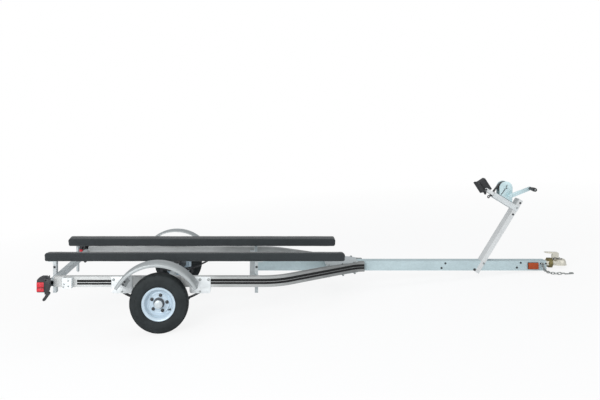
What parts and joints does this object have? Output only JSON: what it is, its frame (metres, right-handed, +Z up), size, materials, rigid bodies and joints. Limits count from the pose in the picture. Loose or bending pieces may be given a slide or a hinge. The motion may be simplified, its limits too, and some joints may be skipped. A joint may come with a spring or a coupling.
{
  "type": "boat trailer",
  "caption": "Galvanized boat trailer with carpeted bunks, open fenders and a strap winch on a raked post, standing on its wheels and the tip of its tongue.",
  "frame": {"origin": "middle of the bounding box at ground level", "axes": "+X forward along the tongue, +Y to the trailer's left, +Z up"},
  "size_m": [4.0368, 1.372, 0.777],
  "materials": {
    "galvanized_steel": "galvanized",
    "tyre_rubber": "matte",
    "wheel_paint": "satin",
    "hub_steel": "satin",
    "black_steel": "satin",
    "carpet": "matte",
    "red_lens": "gloss",
    "amber_lens": "gloss",
    "black_plastic": "satin",
    "black_rubber": "matte",
    "zinc_plate": "zinc plated",
    "cream_zinc": "zinc plated",
    "olive_zinc": "olive zinc plated",
    "chain_zinc": "zinc plated",
    "strap_webbing": "woven"
  },
  "bodies": {
    "trailer": {"axle": "galvanized_steel", "axle_clamp_left": "black_steel", "axle_clamp_right": "black_steel", "bow_stop": "black_rubber", "bunk_bracket_front_left": "galvanized_steel", "bunk_bracket_front_right": "galvanized_steel", "bunk_bracket_rear_left": "galvanized_steel", "bunk_bracket_rear_right": "galvanized_steel", "bunk_left": "carpet", "bunk_right": "carpet", "chain_left": "chain_zinc", "chain_right": "chain_zinc", "corner_bracket_left": "galvanized_steel", "corner_bracket_right": "galvanized_steel", "coupler": "cream_zinc", "coupler_collar": "olive_zinc", "coupler_lever": "cream_zinc", "fender_left": "galvanized_steel", "fender_right": "galvanized_steel", "front_crossmember": "galvanized_steel", "gusset_bottom": "galvanized_steel", "gusset_top": "galvanized_steel", "hanger_front_left": "galvanized_steel", "hanger_front_right": "galvanized_steel", "hanger_rear_left": "galvanized_steel", "hanger_rear_right": "galvanized_steel", "lamp_bracket_left": "black_plastic", "lamp_bracket_right": "black_plastic", "lamp_hood_left": "black_plastic", "lamp_hood_right": "black_plastic", "lamp_lens_left": "red_lens", "lamp_lens_right": "red_lens", "leaf_spring_left": "black_steel", "leaf_spring_right": "black_steel", "rail_left": "galvanized_steel", "rail_right": "galvanized_steel", "rear_crossmember": "galvanized_steel", "side_marker_left": "amber_lens", "side_marker_right": "amber_lens", "stop_bar": "zinc_plate", "strap_hook": "zinc_plate", "strap_run": "strap_webbing", "tongue": "galvanized_steel", "winch_arm": "galvanized_steel", "winch_frame": "zinc_plate", "winch_post": "galvanized_steel"},
    "wheel_left": {"hub_left": "hub_steel", "tyre_left": "tyre_rubber", "wheel_left": "wheel_paint"},
    "wheel_right": {"hub_right": "hub_steel", "tyre_right": "tyre_rubber", "wheel_right": "wheel_paint"},
    "winch_drum": {"strap_roll": "strap_webbing", "winch_drum": "zinc_plate"},
    "winch_crank": {"crank_grip": "black_plastic", "winch_crank": "zinc_plate"}
  },
  "joints": [
    {"name": "wheel_left_spin", "type": "hinge", "parent": "trailer", "child": "wheel_left", "pos_m": [-1.15266, 0.62, 0.21], "axis": [0, 1, 0], "continuous": true},
    {"name": "wheel_right_spin", "type": "hinge", "parent": "trailer", "child": "wheel_right", "pos_m": [-1.15266, -0.62, 0.21], "axis": [0, 1, 0], "continuous": true},
    {"name": "drum_spin", "type": "hinge", "parent": "trailer", "child": "winch_drum", "pos_m": [1.58699, 0, 0.68422], "axis": [0, 1, 0], "continuous": true},
    {"name": "crank_spin", "type": "hinge", "parent": "trailer", "child": "winch_crank", "pos_m": [1.60266, 0, 0.62436], "axis": [0, 1, 0], "continuous": true}
  ],
  "couplings": [
    {"joint": "crank_spin", "follows": "drum_spin", "ratio": -3.0909}
  ]
}
